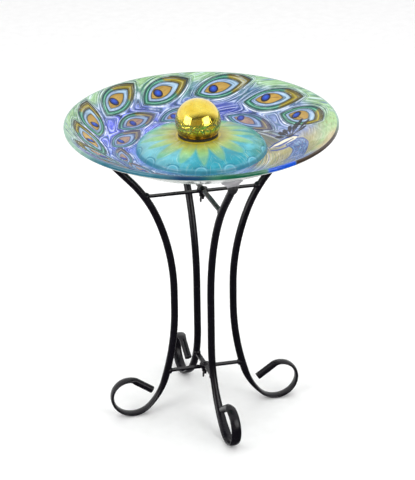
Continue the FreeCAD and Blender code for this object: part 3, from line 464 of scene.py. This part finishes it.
wall, px, py, pz = lathe("bowl_wall", wall_profile, WALL_TURNS, wall_lift)
upper_side = np.tile(np.arange(len(wall_profile)) >= len(wall_profile) - len(ring) - 4, WALL_TURNS)
for title, values in zip(("gauge", "along", "pupil", "gap", "side", "flow"), eye_fields(px, py)):
    paint(wall, title, values)
paint(wall, "crest", crest_gap(px, py))
paint(wall, "bird", chain_gap(px, py, NECK))
paint(wall, "face", chain_gap(px, py, FACE))
paint(wall, "ink", np.min([chain_gap(px, py, line) for line in INK], 0))
colours = wash(px, py)
radius = np.hypot(px, py)
turn = np.degrees(np.arctan2(py, px)) % 360
under_colour = layered(len(px), "BCC4C0", ("B3AE84", 1 - smooth(120, 150, radius)),
                       ("1F5A38", 1 - smooth(0, 1.5, np.abs(radius - BAND) - 5)))
colours = np.where(upper_side[:, None], colours, under_colour)
edge_band = (radius > 224.9) & (pz > 544.2)
band_colour = layered(len(px), "86A896", ("2C6678", near_angle(turn, 228, 36)),
                      ("123A5E", near_angle(turn, 254, 14)),
                      ("125A40", near_angle(turn, 273, 20)),
                      ("0E4CC0", smooth(284, 286, turn) * (1 - smooth(298, 299, turn))),
                      ("3C3128", smooth(298, 299, turn) * (1 - smooth(328, 350, turn))))
colours = np.where(edge_band[:, None], band_colour, colours)
paint(wall, "wash", colours)
paint(wall, "painted", (upper_side & (radius < 224.5)).astype(float))
paint(wall, "out", radius)
# where the barbs stay combed into long lines right across the gap between two eyes
paint(wall, "comb", np.clip(near_angle(turn, 58, 20) * smooth(160, 172, radius)
                            + near_angle(turn, 97, 15) * smooth(160, 172, radius)
                            + near_angle(turn, 127, 10) * smooth(176, 188, radius)
                            + near_angle(turn, 30, 10) * smooth(166, 176, radius), 0, 1)
      * (1 - smooth(208, 218, radius)))
spiral_turn = np.radians((turn + 25) % 360)
paint(wall, "spiral", 52.5 * (spiral_turn + 3.08 * np.log(radius)))

enamel, tree, shader = material("reverse_painted_glass")


def read(name, output="Fac"):
    """A vertex attribute."""
    return add(tree, "Attribute", {"attribute_name": name}).outputs[output]


def mix(factor, first, second, part=1.0):
    """Second, a colour or its hex text, over first by factor times part."""
    if part != 1.0:
        factor = add(tree, "Math", {"operation": "MULTIPLY", 1: part}, _0=factor).outputs[0]
    made = add(tree, "Mix", {"data_type": "RGBA"}, _0=factor, _6=first)
    if isinstance(second, str):
        return wire(made, {7: linear(second)}).outputs[2]
    return wire(made, _7=second).outputs[2]


def span(value, low, high, start=0.0, end=1.0):
    """start below low to end above high."""
    return add(tree, "MapRange", {"From Min": low, "From Max": high, "To Min": start,
                                  "To Max": end}, Value=value).outputs["Result"]


def mix_value(factor, first, second):
    """Second over first by factor, for values."""
    return add(tree, "Mix", _0=factor, _2=first, _3=second).outputs[0]


def times(first, second):
    """Product of two values."""
    return add(tree, "Math", {"operation": "MULTIPLY"}, _0=first, _1=second).outputs[0]


def streaks(across, pitch, shift, slow=32.0, detail=3.0):
    """Noise drawn out along the lines where the across value is constant."""
    spot = add(tree, "SeparateXYZ", Vector=place)
    fast = add(tree, "Math", {"operation": "MULTIPLY_ADD", 1: 1 / pitch, 2: shift}, _0=across)
    slow_x = add(tree, "Math", {"operation": "MULTIPLY", 1: slow}, _0=spot.outputs["X"])
    slow_y = add(tree, "Math", {"operation": "MULTIPLY", 1: slow}, _0=spot.outputs["Y"])
    grid = add(tree, "CombineXYZ", X=fast.outputs[0], Y=slow_x.outputs[0], Z=slow_y.outputs[0])
    return add(tree, "TexNoise", {"Scale": 1.0, "Detail": detail, "Roughness": 0.6},
               Vector=grid.outputs[0]).outputs["Fac"]


place = add(tree, "TexCoord").outputs["Object"]
gauge_in, along_in, pupil_in, gap_in = read("gauge"), read("along"), read("pupil"), read("gap")
flow_in, side_in = read("flow"), read("side")
blot = add(tree, "TexNoise", {"Scale": 70.0, "Detail": 5.0}, Vector=place).outputs["Fac"]

# ground: brush strokes flow round the eyes, violet against slate, teal and near white; the near
# white ripple crests are partly painted highlight
far_off = times(span(flow_in, 6.0, 14.0), span(read("comb"), 1.0, 0.0))
hair, tint = (mix_value(far_off, streaks(flow_in, pitch, shift),
                        streaks(read("spiral"), 1.3 * pitch, shift + 5.0, 9.0))
              for pitch, shift in ((1.4, 0.0), (3.4, 20.0)))
stripe = streaks(flow_in, 6.0, 50.0, 14.0, 1.0)
field = mix(span(tint, 0.55, 0.66), read("wash", "Color"), "2F8580", 0.6)
field = mix(span(tint, 0.45, 0.35), field, "2C389C", 0.65)
wobble = add(tree, "Math", {"operation": "MULTIPLY_ADD", 1: 6.0}, _0=stripe,
             _2=add(tree, "Math", {"operation": "MULTIPLY", 1: 1.65}, _0=flow_in).outputs[0])
lines = add(tree, "Math", {"operation": "SINE"}, _0=wobble.outputs[0]).outputs[0]
near_eye = add(tree, "Math", {"operation": "MAXIMUM"}, _0=span(flow_in, 4.0, 15.0, 1.0, 0.0),
               _1=read("comb")).outputs[0]
field = mix(times(span(lines, -0.1, -0.8), near_eye), field, "0E4450", 0.7)
# pale line crests: barb strokes, and also painted highlight along the embossed ripple ridges
field = mix(times(times(span(lines, 0.5, 0.95), near_eye), span(blot, 0.40, 0.56)), field,
            "CFDCEC", 0.75)
field = mix(span(hair, 0.55, 0.65), field, "D4DEEE", 0.75)
field = mix(span(hair, 0.46, 0.36), field, "123058", 0.8)

# eye: tan heart, pale ring, green ring turning gold towards the tip, fine dark outlines, and a
# painted highlight just outside them
grow = span(gauge_in, 0.0, 1.1)
fine = streaks(gauge_in, 0.06, 7.0)
# painted highlight: the last, pale stop of each ramp lies just outside the dark outline, on the
# eye's raised edge
rings = ramp(tree, grow, [(0.0, "C2A050"), (0.38, "A88434"), (0.405, "241A0C"), (0.435, "50707E"),
                          (0.46, "94B0D0"), (0.53, "A8BEDE"), (0.58, "6E94BC"), (0.61, "0C2C34"),
                          (0.64, "0C5A4A"), (0.69, "16785E"), (0.735, "7CC8A8"), (0.77, "146A56"),
                          (0.82, "0F6050"), (0.865, "0A3C3C"), (0.89, "062026"), (0.925, "8FB4B4")])
tip_rings = ramp(tree, grow, [(0.0, "C2A050"), (0.38, "A88434"), (0.405, "4C3818"),
                              (0.435, "5E6C6A"), (0.46, "8CAECC"), (0.53, "A8C4DC"),
                              (0.58, "7FA0B8"), (0.61, "1C1A04"), (0.64, "5A5006"),
                              (0.69, "80720A"), (0.735, "BAA830"), (0.77, "6C5E08"),
                              (0.83, "5C5208"), (0.865, "3E3A06"), (0.89, "101408"),
                              (0.925, "9AB0A4")])
eye = mix(span(along_in, 0.60, 0.66), rings, tip_rings)
eye = mix(times(span(fine, 0.46, 0.34), span(gauge_in, 0.38, 0.46)), eye, "12384C", 0.7)
eye = mix(times(span(fine, 0.58, 0.68), span(gauge_in, 0.42, 0.48)), eye, "CFDFE4", 0.5)
barb = streaks(side_in, 0.05, 3.0)
eye = mix(times(span(barb, 0.46, 0.34), span(gauge_in, 0.40, 0.34)), eye, "6E4E1E", 0.8)
pupil = ramp(tree, span(pupil_in, 0.0, 1.4),
             [(0.0, "1A66DC"), (0.22, "0C48BC"), (0.46, "08349C"), (0.58, "071648"),
              (0.68, "03060E"), (0.77, "0A0C10"), (0.83, "5E4620"), (0.90, "C2A050")])
eye = mix(span(pupil_in, 1.2, 1.05), eye, pupil)
faded = span(add(tree, "VectorMath", {"operation": "LENGTH"}, Vector=add(
    tree, "VectorMath", {"operation": "MULTIPLY", 1: (1, 1, 0)}, _0=place).outputs[0]
).outputs["Value"], 0.150, 0.162)
eye = mix(span(faded, 1.0, 0.0), eye, "5B62B8", 0.28)
# painted highlight: a broad white stroke along each eye's lower side, standing for the overhead
# light caught on the relief there
painted_highlight_under_eye = times(times(span(gap_in, 1.2, 2.2), span(gap_in, 4.4, 3.0)), span(side_in, -0.2, -0.36))
field = mix(times(painted_highlight_under_eye, span(blot, 0.42, 0.56)), field, "E6EBFA", 0.9)
picture = mix(span(gap_in, 1.0, 0.3), field, eye)

# bird: cream face with blue lines, scaled blue neck, dark crest
bird_in, face_in, ink_in, crest_in = read("bird"), read("face"), read("ink"), read("crest")
garden = streaks(read("out"), 2.0, 11.0)
not_train = span(add(tree, "SeparateXYZ", Vector=place).outputs["Y"], 0.000, -0.030)
right_side = times(not_train, span(add(tree, "SeparateXYZ", Vector=place).outputs["X"],
                                   0.105, 0.125))
soft_ground = mix(span(garden, 0.54, 0.68), read("wash", "Color"), "8C7C42", 0.6)
soft_ground = mix(span(garden, 0.44, 0.30), soft_ground, "D2CCAE", 0.65)
picture = mix(times(right_side, span(gap_in, 0.5, 5.0)), picture, soft_ground)
scales = add(tree, "TexVoronoi", {"feature": "DISTANCE_TO_EDGE", "Scale": 210.0}, Vector=place)
plume = streaks(bird_in, 2.2, 31.0)
neck = ramp(tree, plume, [(0.30, "0E2466"), (0.45, "204690"), (0.56, "3C6CA4"), (0.70, "8CB0D2")])
teal_body = ramp(tree, plume, [(0.30, "124A3E"), (0.48, "1E7A62"), (0.60, "3F9C8C"),
                               (0.72, "A8D0BC")])
neck = mix(span(add(tree, "SeparateXYZ", Vector=place).outputs["X"], 0.110, 0.060), neck, teal_body)
neck = mix(span(scales.outputs["Distance"], 0.10, 0.03), neck, "B9C8DC", 0.28)
neck = mix(span(bird_in, -2.2, -0.6), neck, "16347E", 0.8)
picture = mix(span(bird_in, 0.6, -0.2), picture, neck)
picture = mix(span(face_in, 0.5, -0.5), picture, "E4DDC6")
picture = mix(span(ink_in, 0.4, -0.6), picture, "143A86", 0.95)
picture = mix(span(crest_in, 0.6, -0.3), picture, "1C1C26", 0.97)

picture = mix(read("painted"), read("wash", "Color"), picture)
tone = times(span(hair, 0.3, 0.7, 0.86, 1.14), span(blot, 0.3, 0.7, 0.88, 1.12))
final = add(tree, "VectorMath", {"operation": "SCALE"}, _0=picture, Scale=tone)
wire(shader, {"Roughness": 0.09, "IOR": 1.5}, Base_Color=final.outputs[0])
ripple = add(tree, "Bump", {"Strength": 0.5, "Distance": 0.0008},
             Height=times(lines, near_eye))
wire(shader, Normal=ripple.outputs["Normal"])
wall.data.materials.append(enamel)
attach(wall, "bowl")

# ---------------------------------------------------------------- mound in the bowl's middle
# The same sheet rises over a domed mould with a scalloped foot.  Yellow-green rays run out from
# the globe's seat over turquoise; the scallops are outlined in dark blue, with pale blue painted
# highlight and dark teal painted shade round the foot.
RAYS, SCALLOPS = 15, 14
GLOBE_ASIDE = 5.6                   # the globe sits this far towards -X, and the rays with it
dome_ring = np.linspace(35.0, 106.5, 52)
dome_line = np.interp(dome_ring, [35, 46, 58, 70, 80, 88, 94, 98, 101, 104, 106.5],
                      [526.5, 525.9, 524.1, 521.9, 519.9, 518.0, 516.2, 514.4, 512.6, 510.4, 508.3])
dome_under_ring = np.linspace(97.5, 37.0, 18)
dome_under_line = np.interp(dome_under_ring, [37, 55, 75, 88, 94, 97.5],
                            [519.5, 516.8, 512.8, 509.8, 507.0, 503.8])
mound_profile = np.concatenate([
    np.array([(17.0, 526.5), (22.0, 526.5), (28.0, 526.5), (33.0, 526.5)]),
    np.stack([dome_ring, dome_line], 1),
    np.array([(107.6, 506.9), (108.5, 504.8), (109.3, 502.6), (110.2, 500.9), (111.5, 500.1),
              (111.0, 497.0), (109.0, 494.2), (105.0, 493.2), (103.0, 493.6), (101.2, 496.0),
              (100.4, 499.0), (99.4, 501.4)]),
    np.stack([dome_under_ring, dome_under_line], 1),
    np.array([(30.0, 519.5), (17.0, 519.5)]),
])
mound_profile = mound_profile[::-1]


def mound_lift(x, y):
    """Rays stand 0.5 mm proud and the foot swells a little in each scallop."""
    r = np.hypot(x, y)
    angle = np.arctan2(y, x)
    upper = np.zeros(len(mound_profile))
    upper[-(len(dome_ring) + 4):] = 1.0
    ray = 0.5 * np.cos(RAYS * angle) * smooth(40, 55, r) * (1 - smooth(80, 94, r))
    foot = 0.7 * np.abs(np.sin(SCALLOPS / 2 * angle)) * smooth(94, 100, r)
    return (ray + foot * (1 - smooth(103, 106.5, r))) * upper


mound, mx, my, _ = lathe("bowl_mound", mound_profile, 540, mound_lift)
mr, ma = np.hypot(mx, my), np.arctan2(my, mx)
fan_r, fan_a = np.hypot(mx + GLOBE_ASIDE, my), np.arctan2(my, mx + GLOBE_ASIDE)
pitch = 2 * np.pi / RAYS
bent = fan_a + 0.04 * np.sin(4 * fan_a) + 0.0008 * (fan_r - 60)
from_axis = np.abs((bent + pitch / 2) % pitch - pitch / 2) * fan_r
length = 95 + 3 * np.sin(3 * fan_a + 1.0) + 3 * np.sin(7 * fan_a)
beyond = np.clip((fan_r - 48) / (length - 48), 0, 1.2)
paint(mound, "ray", 11.6 * np.sqrt(np.clip(1 - beyond ** 2.2, 0, 1)) - 6 * np.maximum(beyond - 1, 0)
      - from_axis)
paint(mound, "out", mr)
paint(mound, "seat", fan_r)
step = 2 * np.pi / SCALLOPS
arc = ((ma + step / 2) % step - step / 2) * 107
paint(mound, "scallop", np.hypot(arc, (mr - 109) * 1.6) - 13.0)
far = np.clip(0.5 + 0.5 * np.sin(ma), 0, 1)
right = np.clip(0.5 + 0.5 * np.cos(ma), 0, 1)
mound_wash = layered(len(mx), "1494A8", ("5CA8A8", smooth(0.35, 0.95, far) * 0.9),
                     ("3F8A74", smooth(0.7, 1.0, right) * smooth(70, 100, mr) * 0.8),
                     ("86C4CC", smooth(0.6, 1.0, 1 - right) * 0.6),
                     ("A2AA74", smooth(0.5, 0.95, far) * (1 - smooth(80, 104, mr))),
                     ("8CAE52", 1 - smooth(44, 62, mr)))
paint(mound, "wash", mound_wash)

ray_paint, tree, shader = material("reverse_painted_glass_mound")
place = add(tree, "TexCoord").outputs["Object"]
ray_in, out_in, foot_in, seat_in = read("ray"), read("out"), read("scallop"), read("seat")
smear = add(tree, "TexNoise", {"Scale": 36.0, "Detail": 6.0, "Roughness": 0.6},
            Vector=place).outputs["Fac"]
ray_edge = add(tree, "Math", {"operation": "MULTIPLY_ADD", 1: 5.0}, _0=smear,
               _2=add(tree, "Math", {"operation": "ADD", 1: -2.5}, _0=ray_in).outputs[0]).outputs[0]
grain = streaks(ray_in, 1.5, 0.0)
ray_colour = ramp(tree, span(seat_in, 36.0, 96.0),
                  [(0.0, "A8963C"), (0.25, "A0AC50"), (0.5, "8CB46A"), (0.85, "62A886")])
surface = mix(span(smear, 0.52, 0.66), read("wash", "Color"), "62B8CC", 0.5)
surface = mix(span(ray_edge, -2.4, 3.0), surface, ray_colour, 0.92)
surface = mix(span(seat_in, 60.0, 40.0), surface, "A09A3C", 0.5)
surface = mix(span(grain, 0.58, 0.70), surface, "C8E0B8", 0.45)
surface = mix(span(grain, 0.42, 0.30), surface, "2F8F98", 0.4)
surface = mix(times(span(seat_in, 38.4, 37.2), span(seat_in, 33.0, 33.8)), surface, "D2BE2E")
surface = mix(span(foot_in, 0.9, -0.1), surface, "1E6A86", 0.6)
surface = mix(span(foot_in, -1.2, -2.2), surface, "3CA4BC", 0.8)
# painted highlight: pale blue rings inside each scallop and round the dome's shoulder
surface = mix(times(span(foot_in, -2.6, -3.4), span(foot_in, -5.4, -4.6)), surface, "9AD0DC", 0.6)
surface = mix(span(out_in, 104.6, 106.0), surface, "6CB4C8", 0.45)
# painted shade: dark teal where the foot drops steeply to the trough
surface = mix(span(out_in, 106.8, 108.4), surface, "2C7C94", 0.55)
surface = mix(span(out_in, 109.0, 110.4), surface, "3C7CB0", 0.7)
final = add(tree, "VectorMath", {"operation": "SCALE"}, _0=surface,
            Scale=span(smear, 0.3, 0.7, 0.76, 1.2))
wire(shader, {"Roughness": 0.07, "IOR": 1.5}, Base_Color=final.outputs[0])
swell = add(tree, "Bump", {"Strength": 0.3, "Distance": 0.002}, Height=smear)
wire(shader, Normal=swell.outputs["Normal"])
mound.data.materials.append(ray_paint)
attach(mound, "bowl")
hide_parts("glass_bowl")
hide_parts("glass_bowl")

# ---------------------------------------------------------------- globe
# A blown ball quenched while hot, so its wall crazed into plates, then silvered gold inside.
# It reflects like a gilt mirror, with dark crack lines gathering towards its foot.
gilt, tree, shader = material("gold_crackle_mirror_glass")
place = add(tree, "TexCoord").outputs["Object"]
warp = add(tree, "TexNoise", {"Scale": 60.0, "Detail": 3.0}, Vector=place)
bent = add(tree, "VectorMath", {"operation": "MULTIPLY_ADD", 1: (0.008, 0.008, 0.008)},
           _0=warp.outputs["Color"], _2=place)
plates = add(tree, "TexVoronoi", {"feature": "DISTANCE_TO_EDGE", "Scale": 95.0},
             Vector=bent.outputs[0]).outputs["Distance"]
height = add(tree, "SeparateXYZ", Vector=place).outputs["Z"]
# painted reflection and shade: the ball darkens to brown towards its foot, where it mirrors the
# mound and its contact shadow
low = span(height, 0.549, 0.536)
gold = ramp(tree, warp.outputs["Fac"], [(0.35, "F2CC22"), (0.65, "FCE458")])
gold_in_painted_shade = ramp(tree, warp.outputs["Fac"], [(0.42, "2C1602"), (0.52, "9A6410"), (0.60, "E0B03A")])
body = mix(low, gold, gold_in_painted_shade)
cracks = times(span(plates, 0.09, 0.0), span(height, 0.566, 0.545, 0.10, 1.0))
body = mix(cracks, body, "3A2C08", 0.85)
wire(shader, {"Metallic": 1.0, "Roughness": 0.10, "Coat Weight": 1.0, "Coat Roughness": 0.04},
     Base_Color=body)
crazing = add(tree, "Bump", {"Strength": 0.5, "Distance": 0.001, "invert": True}, Height=cracks)
buckle = add(tree, "Bump", {"Strength": 0.35, "Distance": 0.003},
             Height=times(warp.outputs["Fac"], low), Normal=crazing.outputs["Normal"])
wire(shader, Normal=buckle.outputs["Normal"])
dress(gilt, "glass_globe")

# ---------------------------------------------------------------- globe collar and lock ring
# Black ABS mouldings with a fine spark-eroded grain.
abs_black, tree, shader = material("black_moulded_abs")
spark = add(tree, "TexNoise", {"Scale": 700.0, "Detail": 2.0},
            Vector=add(tree, "TexCoord").outputs["Object"])
wire(shader, Base_Color=ramp(tree, spark.outputs["Fac"], [(0.4, "1E1D1B"), (0.65, "2B2A27")]))
wire(shader, {"Roughness": 0.5})
pits = add(tree, "Bump", {"Strength": 0.3, "Distance": 0.0002}, Height=spark.outputs["Fac"])
wire(shader, Normal=pits.outputs["Normal"])
dress(abs_black, "globe_collar", "lock_ring", "light_housing", "battery_door", "lamp_carrier",
      "push_switch")

# ---------------------------------------------------------------- solar light's inner pieces
# Rubber seal and button, zinc screws, spring contacts, wrapped cell, green board, dark solar cell
# and a clear lamp, all hidden under the mound until the globe is lifted or the door is off.
INNER = [
    ("light_gasket", "epdm_rubber", "24242A", "303036", 0.7, 0.0),
    ("power_button", "silicone_rubber", "5A5A60", "6A6A70", 0.6, 0.0),
    ("door_screws", "zinc_plated_steel", "9C9C98", "BEBEB8", 0.35, 1.0),
    ("battery_contacts", "nickel_plated_spring", "B0AEA6", "CFCDC6", 0.3, 1.0),
    ("battery_cell", "shrink_wrapped_cell", "2C6E46", "37855A", 0.35, 0.0),
    ("circuit_board", "solder_mask_board", "14512C", "1F6E3C", 0.4, 0.0),
    ("solar_cell", "resin_covered_silicon", "0D1230", "1C2A60", 0.12, 0.0),
    ("led_lamp", "clear_epoxy_lamp", "D8D6CC", "F0EEE4", 0.1, 0.0),
]
for node_name, title, low_code, high_code, roughness, metal in INNER:
    finish, tree, shader = material(title)
    speck = add(tree, "TexNoise", {"Scale": 500.0, "Detail": 3.0},
                Vector=add(tree, "TexCoord").outputs["Object"])
    wire(shader, Base_Color=ramp(tree, speck.outputs["Fac"], [(0.38, low_code), (0.66, high_code)]))
    wire(shader, {"Roughness": roughness, "Metallic": metal})
    dress(finish, node_name)
